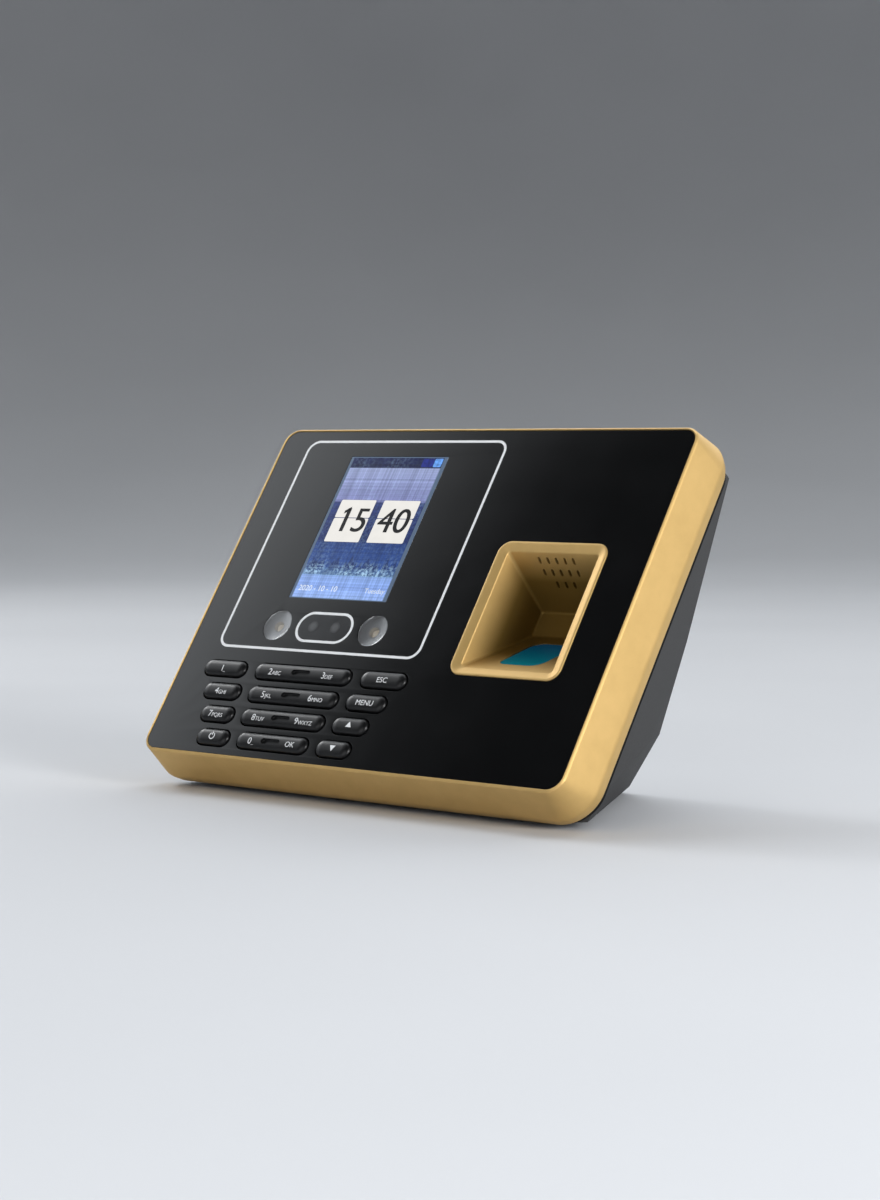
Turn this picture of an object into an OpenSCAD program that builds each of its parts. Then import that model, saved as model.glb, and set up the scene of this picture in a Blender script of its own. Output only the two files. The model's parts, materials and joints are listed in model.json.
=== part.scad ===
// Desk terminal with a fingerprint well, twin face cameras, a colour display and a keypad.
// Most pieces are drawn in the face frame: X right, Y into the case, Z up the panel, with
// its origin at the middle of the front panel's outer face. on_face() leans that frame back.
// The base, rear wall, ports and feet are square to the table. They are drawn in the stand
// frame, which has the same origin and no lean: upright() places it.

/* [Stance] */
// Angle that the face leans back from vertical
lean = 34.6; // [33:0.1:36]
// Height of the face's middle above the underside of the rear shell
base_drop = 67.5; // [67:0.1:68.5]
// Distance from the face's middle back to the rear wall
rear_reach = 57; // [54:0.5:60]
// Thickness of the rubber feet that shows below the base
foot_h = 2.2; // [2:0.1:3]

/* [Front panel] */
// Width of the glossy panel
panel_w = 182.2; // [181.5:0.1:183]
// Height of the glossy panel
panel_h = 134.6; // [134:0.1:135.4]
// Thickness of the glossy panel
panel_t = 3; // [2.8:0.1:3.2]
// Corner radius of the glossy panel
panel_r = 5; // [4:0.5:7]

/* [Front housing] */
// Depth of the gold housing behind the panel's face
housing_d = 18; // [17:0.5:19]
// Depth at which the side walls are widest
crease_d = 13; // [11:0.5:14]
// How far the walls spread between the lip and the crease
flare = 3.5; // [3:0.1:4]
// Thickness of the floor behind the panel
floor_t = 2; // [1.8:0.1:2.2]

/* [Rear shell] */
// Wall thickness of the rear shell
shell_wall = 2.4; // [2:0.1:3]
// Thickness of the gasket between housing and shell
gasket_t = 2; // [1.6:0.1:2.2]
// Inward slope of the shell's flanks, in millimetres per millimetre of depth
side_taper = 0.526; // [0.5:0.001:0.56]
// The same behind the crease that runs down each flank
low_taper = 0.6; // [0.56:0.01:0.64]
// Depth of that crease
flank_crease = 56; // [52:0.5:60]

/* [Display and cameras] */
// Width of the display window
display_w = 45.2; // [44:0.1:46]
// Height of the display window
display_h = 60; // [59:0.1:61]
// Radius of the infrared lamp windows
lamp_r = 6.1; // [5.5:0.1:6.3]
// Distance from each lamp to the middle between the cameras
lamp_x = 22.1; // [21:0.1:23]

/* [Keypad] */
// Height of every key
key_h = 6; // [5.6:0.1:6.2]
// Distance between key rows
key_pitch = 9.03; // [8.9:0.01:9.1]
// How far the keys stand out of the panel
key_proud = 1.5; // [1.2:0.1:1.8]
// Travel of the single keys
key_travel = 0.7; // [0.5:0.1:0.8]

/* [Finger well] */
// Width of the well's raised rim
rim_w = 45; // [44.5:0.1:45.5]
// Height of the well's raised rim
rim_h = 51.9; // [51.4:0.1:52.4]
// Depth of the well
well_d = 24; // [22:0.5:25]
// Wall thickness of the well
well_wall = 1.6; // [1.4:0.1:1.8]

/* [Mounting] */
// Side of the square of threaded inserts in the rear wall
mount_pitch = 75; // [70:1:80]
// Radius of the hole in each insert
mount_r = 2; // [1.5:0.1:2.2]

/* [Hidden] */
$fn = 64;

big = 400;                          // longer than anything that it cuts
lip_proud = 0.4;                    // the housing's lip stands this far above the panel
lip_w = 0.8;                        // and is this wide
panel_gap = 0.1;                    // between panel and lip
floor_back = panel_t + floor_t;
housing_in = [panel_w / 2 + 0.4, panel_h / 2 + 0.4];
lip_half = [panel_w / 2 + panel_gap + lip_w, panel_h / 2 + panel_gap + lip_w];
crease_half = lip_half + [flare, flare];
waist = 0.4;                        // the walls draw in again by this behind the crease
shell_front = housing_d + gasket_t;
crease_r = 12.6;                    // corner radius of the housing at its widest
shell_half = [93, 68.5];
shell_r = 10.5;
gasket_half = shell_half + [0.5, 0.5];
crease_x = shell_half[0] - side_taper * (flank_crease - shell_front);

face_z = base_drop + foot_h;
front_reach = lip_proud * cos(lean) + lip_half[1] * sin(lean);
face_y = (front_reach - rear_reach) / 2;

display_x = -32.3;
display_z = 26.3;
camera_x = -32.1;
camera_z = -15.2;
lens_x = 5;                         // from the middle between the cameras
window_l = 23.7;
window_h = 10.3;
lcd_w = 50;
lcd_h = 69.2;
lcd_z = display_z + 1.3;
lcd_back = panel_t + 4.2;
camera_board_y = 9;
lamp_t = 1.2;                       // thickness of the lamps' windows
dish_y = 3.2;                       // depth of the middle of the reflectors' dishes
led_r = 1.8;

key_x = -32.2;
key_top_z = -34.1;
key_gap = 0.5;                      // round each key in the panel
floor_gap = 0.6;                    // round each key in the housing floor
flange_t = 0.8;
flange_reach = [1.2, 0.9];
single_flange_y = floor_back + 0.3;
rocker_flange_y = floor_back + 1.1;
outer_reach = [46.4, 41.9, 38.35, 35.15];   // far end of the outer keys, by row
inner_reach = [26.9, 24.85, 23.2, 20.55];   // near end of the outer keys, by row
middle_reach = [21.9, 20.45, 18.9, 16.05];  // either end of the rocker keys, by row
pad_t = 0.3;
rib_r = 0.8;
dome_y = single_flange_y + flange_t + pad_t + key_travel + 0.3;
sheet_y = dome_y + 0.9;
sheet_t = 0.8;
keypad_board_y = sheet_y + sheet_t;
pcb_t = 1.6;
pad_r = 2.4;                        // the membrane's pads

well_x = 52;
well_z = -3.75;
well_mouth = [33.2, 70.7, -26.4, 18.6];     // x low, x high, z low, z high at mouth_y
well_end = [36.8, 67.1, -0.5, 9.3];         // the same at the well's back wall
mouth_y = 0.6;
rim_proud = 0.4;
rim_r = 4.8;
slope_len = norm([well_d - mouth_y, well_end[2] - well_mouth[2]]);
slope_angle = -atan2(well_d - mouth_y, well_end[2] - well_mouth[2]);
roof_angle = -atan2(well_mouth[3] - well_end[3], well_d - mouth_y);
slope_wall = well_wall / sin(-slope_angle);     // the sloping walls' thickness, measured up the panel
roof_wall = well_wall / cos(roof_angle);
sensor_at = 17.4;                   // from the mouth up the slope to the glass's middle
sensor_w = 17.6;
sensor_l = 23.6;
sensor_r = 4.5;
module_t = 10;                      // depth of the module behind the glass
slot_rows = [3.3, 8.2, 13.2];       // from the mouth along the roof
slot_counts = [5, 5, 3];
slot_pitch = 3.5;
speaker_at = 14.2;
speaker_r = 8.5;

board_y = 26;
board_box = [-70, 24, -44, 32];     // x low, x high, z low, z high
socket_at = [[display_x, 8], [camera_x, -15.2], [key_x, -38]];
socket_t = 2;
board_posts = [[-66, 28], [20, 28], [-66, -26], [20, -26]];
keypad_posts = [[51.5, -33], [40, -62]];    // x from the keypad's middle, z
case_posts = [[82, 57], [79, -60]];         // x either side, z
board_post_r = 3;
keypad_post_r = 2.5;
case_post_r = 3.6;
pilot_r = 1.3;                      // screw holes in the small posts
case_pilot_r = 1.5;
screw_seat = 24;                    // depth of the case screws' heads
port_x = 13;                        // either side of the middle
port_z = -49;
port_board_y = 42;
insert_h = 8;
insert_r = 2.8;
insert_z = [23, 23 - mount_pitch];
label_z = -14;
label_in = 0.4;                     // depth of the label's recess
feet = [[66, -10], [43, 45]];       // x either side, y
foot_r = 5.7;

gold = [0.83, 0.68, 0.42];
grey = [0.34, 0.34, 0.34];
board_green = [0.1, 0.35, 0.2];

// ---- placing and shaping helpers ----

module upright() translate([0, face_y, face_z]) children();

module on_face() upright() rotate([-lean, 0, 0]) children();

// An outline in the XZ plane, from depth y0 to depth y1
module slab(y0, y1) translate([0, y1, 0]) rotate([90, 0, 0]) linear_extrude(y1 - y0) children();

// A YZ profile drawn out along X
module across(w) rotate([90, 0, 90]) linear_extrude(w, center = true) children();

// A cylinder along Y from depth y0 to depth y1
module rod(r, y0, y1) translate([0, y0, 0]) rotate([-90, 0, 0]) cylinder(h = y1 - y0, r = r);

module block(low, high) translate(low) cube(high - low);

module both_sides() {
    children();
    mirror([1, 0, 0]) children();
}

module rounded(w, h, r) {
    square([w - 2 * r, h], center = true);
    square([w, h - 2 * r], center = true);
    for (x = [-1, 1], z = [-1, 1]) translate([x * (w / 2 - r), z * (h / 2 - r)]) circle(r);
}

module stadium(l, h) {
    square([l - h, h], center = true);
    for (s = [-1, 1]) translate([s * (l - h) / 2, 0]) circle(h / 2);
}

// A block that blends from one rounded outline at depth y0 to another at depth y1
module blended(y0, half0, r0, y1, half1, r1) hull() {
    slab(y0, y0 + 0.01) rounded(2 * half0[0], 2 * half0[1], r0);
    slab(y1 - 0.01, y1) rounded(2 * half1[0], 2 * half1[1], r1);
}

// A four-sided tapering block between two boxes, each [x low, x high, z low, z high]
module tapered(y0, a, y1, b) intersection() {
    linear_extrude(big, center = true) polygon([[a[0], y0], [a[1], y0], [b[1], y1], [b[0], y1]]);
    across(big) polygon([[y0, a[2]], [y0, a[3]], [y1, b[3]], [y1, b[2]]]);
}

function grown(box, by) = [box[0] - by, box[1] + by, box[2] - by, box[3] + by];

function unit(v) = v / norm(v);

// Everything outside the plane through p with outward normal n, moved inward by inset
module beyond(p, n, inset) {
    u = unit(n);
    translate(p - inset * u) rotate([0, acos(u[2]), atan2(u[1], u[0])])
        translate([-big / 2, -big / 2, 0]) cube(big);
}

// ---- front: housing, panel and windows ----

module key_holes(gap) {
    for (row = [0:3]) translate([key_x, key_top_z - row * key_pitch]) {
        stadium(2 * (middle_reach[row] + gap), key_h + 2 * gap);
        for (s = [-1, 1]) translate([s * (outer_reach[row] + inner_reach[row]) / 2, 0])
            stadium(outer_reach[row] - inner_reach[row] + 2 * gap, key_h + 2 * gap);
    }
}

module at_case_posts() {
    for (p = case_posts) for (s = [-1, 1]) translate([s * p[0], 0, p[1]]) children();
}

module at_keypad_posts() {
    for (p = keypad_posts) for (s = [-1, 1]) translate([key_x + s * p[0], 0, p[1]]) children();
}

module at_board_posts() {
    for (p = board_posts) translate([p[0], 0, p[1]]) children();
}

module front_housing() color(gold) on_face() difference() {
    union() {
        difference() {
            union() {
                blended(-lip_proud, lip_half, panel_r + lip_w, crease_d, crease_half, crease_r);
                blended(crease_d, crease_half, crease_r, housing_d, crease_half - [waist, waist], crease_r);
            }
            slab(-1, panel_t) rounded(panel_w + 2 * panel_gap, panel_h + 2 * panel_gap, panel_r);
            slab(floor_back, housing_d + 1) rounded(2 * housing_in[0], 2 * housing_in[1], panel_r);
            slab(panel_t - 1, floor_back + 1) key_holes(floor_gap);
            slab(panel_t - 1, floor_back + 1) translate([display_x, lcd_z]) square([lcd_w + 0.4, lcd_h + 0.4], center = true);
            slab(panel_t - 1, floor_back + 1) translate([camera_x, camera_z]) {
                stadium(window_l - 1, window_h - 1);
                for (s = [-1, 1]) translate([s * lamp_x, 0]) circle(lamp_r + 0.3);
            }
            slab(panel_t - 1, floor_back + 1) translate([well_x, well_z]) rounded(rim_w - 2.2, rim_h - 2.2, 3);
        }
        at_board_posts() rod(board_post_r, floor_back - 0.5, board_y);
        at_keypad_posts() rod(keypad_post_r, floor_back - 0.5, keypad_board_y);
        at_case_posts() rod(case_post_r, floor_back - 0.5, shell_front);
    }
    at_board_posts() rod(pilot_r, board_y - 8, board_y + 1);
    at_keypad_posts() rod(pilot_r, keypad_board_y - 5, keypad_board_y + 1);
    at_case_posts() rod(case_pilot_r, shell_front - 11, shell_front + 1);
}

module front_panel() color([0.04, 0.04, 0.045]) on_face() difference() {
    slab(0, panel_t) rounded(panel_w, panel_h, panel_r);
    slab(-1, panel_t + 1) {
        key_holes(key_gap);
        translate([display_x, display_z]) square([display_w, display_h], center = true);
        translate([camera_x, camera_z]) {
            stadium(window_l, window_h);
            for (s = [-1, 1]) translate([s * lamp_x, 0]) circle(lamp_r);
        }
        translate([well_x, well_z]) rounded(rim_w, rim_h, rim_r);
    }
}

module display_window() color([0.6, 0.7, 0.85, 0.5]) on_face()
    slab(0, panel_t) translate([display_x, display_z]) square([display_w, display_h], center = true);

module camera_window() color([0.1, 0.1, 0.11, 0.6]) on_face()
    slab(0, panel_t) translate([camera_x, camera_z]) stadium(window_l, window_h);

module lamp_window(side) color([0.5, 0.5, 0.5, 0.6]) on_face()
    translate([camera_x + side * lamp_x, 0, camera_z]) rod(lamp_r, 0, lamp_t);

// ---- finger well, sensor and speaker ----

// Frame on the well's sloping floor: Y into the case, Z up the slope, origin at the mouth
module on_slope() translate([well_x, mouth_y, well_mouth[2]]) rotate([slope_angle, 0, 0]) children();

// Frame on the well's roof: Y along it into the case, Z away from the well
module on_roof() translate([well_x, mouth_y, well_mouth[3]]) rotate([roof_angle, 0, 0]) children();

// The well's outer walls at depth y, parallel to its inner ones
function well_outside(y) = well_mouth + (well_end - well_mouth) * (y - mouth_y) / (well_d - mouth_y)
    + [-well_wall, well_wall, -slope_wall, roof_wall];

module finger_well() color(gold) on_face() difference() {
    union() {
        slab(-rim_proud, panel_t) translate([well_x, well_z]) rounded(rim_w, rim_h, rim_r);
        tapered(mouth_y, well_outside(mouth_y), well_d + well_wall, well_outside(well_d + well_wall));
    }
    tapered(-1, grown(well_mouth, 4.2), mouth_y, well_mouth);
    tapered(mouth_y - 0.01, well_mouth, well_d, well_end);
    on_slope() slab(-1, well_wall + 3) translate([0, sensor_at]) rounded(sensor_w, sensor_l, sensor_r);
    on_roof() for (i = [0:2], k = [0:slot_counts[i] - 1])
        translate([(k - (slot_counts[i] - 1) / 2) * slot_pitch, slot_rows[i], -3])
            linear_extrude(well_wall + 5) rotate(90) stadium(2.7, 1);
}

module sensor_glass() color([0.05, 0.45, 0.5, 0.8]) on_face() on_slope()
    slab(0.2, well_wall) translate([0, sensor_at]) rounded(sensor_w, sensor_l, sensor_r);

module sensor_module() color([0.12, 0.12, 0.13]) on_face() on_slope()
    slab(well_wall + 0.1, well_wall + module_t)
        translate([0, sensor_at]) square([sensor_w + 4, sensor_l + 2], center = true);

module sensor_board() color(board_green) on_face() on_slope()
    slab(well_wall + module_t, well_wall + module_t + pcb_t)
        translate([0, sensor_at]) square([sensor_w + 8, sensor_l + 4], center = true);

module speaker_frame() color([0.3, 0.3, 0.3]) on_face() on_roof()
    translate([0, speaker_at, well_wall + 0.2]) difference() {
        cylinder(h = 4.6, r = speaker_r);
        translate([0, 0, -1]) cylinder(h = 4, r = speaker_r - 1);
    }

module speaker_cone() color([0.08, 0.08, 0.08]) on_face() on_roof()
    translate([0, speaker_at, well_wall + 0.6]) difference() {
        cylinder(h = 2.2, r = speaker_r - 1.2);
        translate([0, 0, -1.4]) cylinder(h = 3, r1 = speaker_r - 2, r2 = 2);
    }

// ---- keypad ----

// A domed key: its crown is half an ellipse and its flange stops it behind the floor
module keycap(length, flange_y) {
    half = (length - key_h) / 2;
    shoulder = 0.1;
    crown = [for (a = [0:15:90]) [key_h / 2 * sin(a), shoulder - (key_proud + shoulder) * cos(a)]];
    side = concat(crown, [[key_h / 2, flange_y + 0.1], [0, flange_y + 0.1]]);
    across(2 * half) for (s = [-1, 1]) polygon([for (p = side) [p[1], s * p[0]]]);
    for (s = [-1, 1]) translate([s * half, 0, 0]) rotate([-90, 0, 0]) rotate_extrude() polygon(side);
    slab(flange_y, flange_y + flange_t) stadium(length + 2 * flange_reach[0], key_h + 2 * flange_reach[1]);
}

module single_key(row, side) color([0.1, 0.1, 0.1]) on_face()
    translate([key_x + side * (outer_reach[row] + inner_reach[row]) / 2, 0, key_top_z - row * key_pitch]) {
        keycap(outer_reach[row] - inner_reach[row], single_flange_y);
        rod(2, single_flange_y, single_flange_y + flange_t + pad_t);
    }

// A rocker is pressed at either end. It has a groove across its middle, and turns on the
// round rib under its flange.
module rocker_key(row) color([0.1, 0.1, 0.1]) on_face()
    translate([key_x, 0, key_top_z - row * key_pitch]) {
        difference() {
            keycap(2 * middle_reach[row], rocker_flange_y);
            slab(-key_proud - 1, -0.4) stadium(8.5, 2);
        }
        translate([0, rocker_flange_y + flange_t, 0]) cylinder(h = key_h, r = rib_r, center = true);
    }

module keypad_membrane() color([0.75, 0.75, 0.72]) on_face()
    for (row = [0:3]) translate([key_x, 0, key_top_z - row * key_pitch]) {
        slab(sheet_y, keypad_board_y) square([2 * (outer_reach[row] + 1.9), key_pitch], center = true);
        for (s = [-1, 1]) {
            translate([s * (outer_reach[row] + inner_reach[row]) / 2, 0, 0]) rod(pad_r, dome_y, sheet_y + 0.1);
            translate([s * middle_reach[row] * 0.6, 0, 0]) rod(pad_r, dome_y + 0.2, sheet_y + 0.1);
        }
    }

module keypad_board() color(board_green) on_face() difference() {
    slab(keypad_board_y, keypad_board_y + pcb_t)
        translate([key_x, 0]) polygon([
            [-54, -29.6], [54, -29.6], [54, -37], [42.7, -46], [42.7, -66], [-42.7, -66], [-42.7, -46], [-54, -37]
        ]);
    at_keypad_posts() rod(1.5, keypad_board_y - 1, keypad_board_y + pcb_t + 1);
}

// ---- display, cameras and lamps ----

module lcd_panel() color([0.25, 0.35, 0.7]) on_face()
    slab(panel_t + 0.1, panel_t + 1.3) translate([display_x, lcd_z]) square([lcd_w, lcd_h], center = true);

module lcd_backlight() color([0.8, 0.8, 0.8]) on_face()
    slab(panel_t + 1.3, lcd_back) translate([display_x, lcd_z]) square([lcd_w, lcd_h], center = true);

module camera_lens(side) color([0.06, 0.06, 0.08]) on_face() translate([camera_x + side * lens_x, 0, camera_z]) {
    rod(2.3, panel_t + 0.4, panel_t + 2.5);
    slab(panel_t + 2.4, camera_board_y) square([7, 7], center = true);
}

module lamp_reflector(side) color([0.8, 0.8, 0.8]) on_face() translate([camera_x + side * lamp_x, 0, camera_z])
    difference() {
        rod(lamp_r - 0.2, lamp_t + 0.1, camera_board_y);
        translate([0, lamp_t, 0]) rotate([-90, 0, 0]) cylinder(h = dish_y - lamp_t, r1 = lamp_r - 0.4, r2 = led_r + 0.3);
        rod(led_r + 0.3, dish_y - 0.1, camera_board_y + 1);
    }

module lamp_leds() color([0.7, 0.7, 0.6]) on_face() for (s = [-1, 1])
    translate([camera_x + s * lamp_x, 0, camera_z]) {
        rod(led_r, dish_y + 0.4, camera_board_y);
        translate([0, dish_y + 0.4, 0]) sphere(led_r);
    }

module camera_board() color(board_green) on_face()
    slab(camera_board_y, camera_board_y + pcb_t)
        translate([camera_x, camera_z]) square([60, 13], center = true);

// ---- main board ----

module main_board() color(board_green) on_face() difference() {
    block([board_box[0], board_y, board_box[2]], [board_box[1], board_y + pcb_t, board_box[3]]);
    at_board_posts() rod(1.5, board_y - 1, board_y + pcb_t + 1);
}

// A part soldered to the back of the main board, with its corner at x, z
module on_board(x, z, size) translate([x, board_y + pcb_t, z]) cube(size);

module processor() color([0.12, 0.12, 0.12]) on_face() on_board(-32, -12, [18, 1.4, 18]);

module board_chips() color([0.15, 0.15, 0.16]) on_face() {
    on_board(-8, -8, [12, 1.2, 10]);
    on_board(-56, -10, [14, 1.2, 12]);
    on_board(2, 12, [8, 1.2, 6]);
    on_board(-30, 14, [10, 1.2, 5]);
}

module capacitors() color([0.25, 0.25, 0.3]) on_face()
    for (x = [-2, 6, 14]) translate([x, 0, -36]) rod(3, board_y + pcb_t, board_y + pcb_t + 7);

module coin_cell() color([0.8, 0.8, 0.8]) on_face()
    translate([-50, 0, 18]) rod(10, board_y + pcb_t, board_y + pcb_t + 3.2);

module ribbon_sockets() color([0.85, 0.83, 0.75]) on_face() for (p = socket_at)
    translate([p[0], 0, p[1]]) slab(board_y - socket_t, board_y) square([24, 5], center = true);

// A flat cable that leaves a board's back at y0, rises by bow and enters a socket
module ribbon(at, y0, bow) on_face() translate([at[0], 0, at[1]]) across(20) {
    steps = [for (i = [0:12]) i / 12];
    y1 = board_y - socket_t;
    rise = [for (t = steps) [y0 + (y1 - y0) * t, bow * sin(180 * t)]];
    fall = [for (i = [12:-1:0]) rise[i] + [0, 0.35]];
    polygon(concat(rise, fall));
}

module lcd_ribbon() color([0.8, 0.55, 0.2]) ribbon(socket_at[0], lcd_back, 3);

module camera_ribbon() color([0.8, 0.55, 0.2]) ribbon(socket_at[1], camera_board_y + pcb_t, 2);

module keypad_ribbon() color([0.8, 0.55, 0.2]) ribbon(socket_at[2], keypad_board_y + pcb_t, 2);

// ---- ports, in the stand frame ----

module port_board() color(board_green) upright()
    slab(port_board_y, port_board_y + pcb_t) translate([0, port_z]) square([48, 22], center = true);

// Lead from the bottom edge of the main board to the port board
module port_lead() color([0.1, 0.1, 0.1]) upright() translate([0, 0, -53])
    for (x = [-4.5:1.5:4.5]) translate([x, 0, 0]) rod(0.6, 0, port_board_y);

module dc_jack() color([0.08, 0.08, 0.08]) upright() translate([-port_x, 0, port_z]) difference() {
    union() {
        slab(port_board_y + pcb_t, rear_reach - shell_wall) square([9, 10], center = true);
        rod(4, rear_reach - shell_wall - 1, rear_reach - 0.3);
    }
    rod(3.1, rear_reach - 9.5, rear_reach + 1);
}

module dc_jack_pin() color([0.8, 0.75, 0.6]) upright() translate([-port_x, 0, port_z])
    rod(1, rear_reach - 9.5, rear_reach - 1.2);

module usb_shell() color([0.75, 0.75, 0.75]) upright() translate([port_x, 0, port_z])
    slab(port_board_y + pcb_t, rear_reach - 0.3) difference() {
        square([13.1, 5.7], center = true);
        square([12.5, 5.1], center = true);
    }

module usb_tongue() color([0.9, 0.9, 0.88]) upright() translate([port_x, 0, port_z])
    block([-5.5, port_board_y + pcb_t, 0.2], [5.5, rear_reach - 1.5, 2.0]);

// ---- rear shell and fixings ----

// The shell's outside is a rounded block cut by the rear wall, the base and, on each side,
// the tapered flank, the steeper flank behind its crease, and a bevel along the base. inset
// draws every one of them inward by a wall's thickness.
module shell_form(inset) {
    bevel_front = [77.5, 2.9, -base_drop];
    bevel_back = [50.5, rear_reach, -base_drop];
    bevel_top = [63.4, rear_reach, -47.8];
    difference() {
        upright() rotate([-lean, 0, 0]) slab(shell_front - (inset > 0 ? 1 : 0), big / 4)
            rounded(2 * (shell_half[0] - inset), 2 * (shell_half[1] - inset), shell_r - inset / 2);
        upright() {
            beyond([0, rear_reach, 0], [0, 1, 0], inset);
            beyond([0, 0, -base_drop], [0, 0, -1], inset);
            both_sides() {
                rotate([-lean, 0, 0]) {
                    beyond([crease_x, flank_crease, 0], [1, side_taper, 0], inset);
                    beyond([crease_x, flank_crease, 0], [1, low_taper, 0], inset);
                }
                beyond(bevel_back, cross(bevel_top - bevel_back, bevel_front - bevel_back), inset);
            }
        }
    }
}

module at_inserts() for (x = [-1, 1], z = insert_z) translate([x * mount_pitch / 2, 0, z]) children();

module rear_shell() color(grey) difference() {
    union() {
        difference() {
            shell_form(0);
            shell_form(shell_wall);
        }
        intersection() {
            shell_form(0.5);
            union() {
                on_face() at_case_posts() rod(4.4, shell_front, big / 4);
                upright() at_inserts() rod(4.5, rear_reach - insert_h - 1.5, rear_reach);
            }
        }
    }
    on_face() at_case_posts() {
        rod(1.7, shell_front - 1, screw_seat + 1);
        rod(3.2, screw_seat, big / 4);
    }
    upright() {
        at_inserts() rod(insert_r, rear_reach - insert_h, rear_reach + 1);
        translate([-port_x, 0, port_z]) rod(4.2, rear_reach - shell_wall - 1, rear_reach + 1);
        slab(rear_reach - shell_wall - 1, rear_reach + 1) translate([port_x, port_z]) square([14, 6.6], center = true);
        slab(rear_reach - label_in, rear_reach + 1) translate([0, label_z]) rounded(46, 26, 2);
        both_sides() for (p = feet) translate([p[0], p[1], -base_drop - 1]) cylinder(h = 1.6, r = foot_r + 0.3);
    }
}

module mount_inserts() color([0.8, 0.65, 0.3]) upright() at_inserts() difference() {
    rod(insert_r, rear_reach - insert_h, rear_reach - 0.1);
    rod(mount_r, rear_reach - insert_h - 1, rear_reach + 1);
}

module rear_label() color([0.7, 0.7, 0.72]) upright()
    slab(rear_reach - label_in, rear_reach - 0.15) translate([0, label_z]) rounded(45, 25, 1.6);

module rubber_feet() color([0.08, 0.08, 0.08]) upright() both_sides()
    for (p = feet) translate([p[0], p[1], -base_drop - foot_h]) {
        cylinder(h = 0.7, r1 = foot_r - 0.7, r2 = foot_r);
        translate([0, 0, 0.7]) cylinder(h = foot_h - 0.1, r = foot_r);
    }

module gasket() color([0.05, 0.05, 0.05]) on_face() slab(housing_d, shell_front) difference() {
    rounded(2 * gasket_half[0], 2 * gasket_half[1], shell_r + 0.5);
    rounded(2 * (housing_in[0] - 1), 2 * (housing_in[1] - 1.6), shell_r - 3);
}

// ---- screws ----

// A pan-head screw along Y: its head's seat is at depth seat and its tip at depth tip
module screw(r, head_r, head_t, tip, seat) difference() {
    union() {
        rod(r, tip, seat + 0.1);
        rod(head_r, seat, seat + head_t);
    }
    for (a = [0, 90]) translate([0, seat + head_t, 0]) rotate([0, a, 0])
        cube([head_r * 1.1, 1.4, 0.5], center = true);
}

module board_screws() color([0.75, 0.75, 0.77]) on_face() {
    at_board_posts() screw(1.2, 2.3, 1.5, board_y - 6, board_y + pcb_t);
    at_keypad_posts() screw(1.2, 2.3, 1.5, keypad_board_y - 4, keypad_board_y + pcb_t);
}

module case_screws() color([0.3, 0.3, 0.32]) on_face() at_case_posts()
    screw(1.4, 2.8, 2, shell_front - 9.5, screw_seat);

front_housing();
front_panel();
display_window();
camera_window();
lamp_window(-1);  // lamp_window_left
lamp_window(1);  // lamp_window_right
finger_well();
sensor_glass();
sensor_module();
sensor_board();
speaker_frame();
speaker_cone();
single_key(0, -1);  // key_1
rocker_key(0);  // key_2_3
single_key(0, 1);  // key_esc
single_key(1, -1);  // key_4
rocker_key(1);  // key_5_6
single_key(1, 1);  // key_menu
single_key(2, -1);  // key_7
rocker_key(2);  // key_8_9
single_key(2, 1);  // key_up
single_key(3, -1);  // key_power
rocker_key(3);  // key_0_ok
single_key(3, 1);  // key_down
keypad_membrane();
keypad_board();
lcd_panel();
lcd_backlight();
camera_lens(-1);  // camera_lens_left
camera_lens(1);  // camera_lens_right
lamp_reflector(-1);  // lamp_reflector_left
lamp_reflector(1);  // lamp_reflector_right
lamp_leds();
camera_board();
main_board();
processor();
board_chips();
capacitors();
coin_cell();
ribbon_sockets();
lcd_ribbon();
camera_ribbon();
keypad_ribbon();
port_board();
port_lead();
dc_jack();
dc_jack_pin();
usb_shell();
usb_tongue();
board_screws();
case_screws();
gasket();
rear_shell();
mount_inserts();
rubber_feet();
rear_label();
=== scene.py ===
"""Looks of a desk terminal with a fingerprint well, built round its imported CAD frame.

Most pieces are drawn in the face frame, in millimetres: X right, Y into the case and Z up
the panel, with the origin at the middle of the panel's outer face. FACE carries that frame
to the row frame, in metres. The rear shell, the feet, the screws and all that is inside the
case, apart from the lamps, keep their CAD meshes and get materials. Those that show most get
softened edges too.
"""

import json
import math

import bmesh
import bpy
from mathutils import Matrix, Vector

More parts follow.
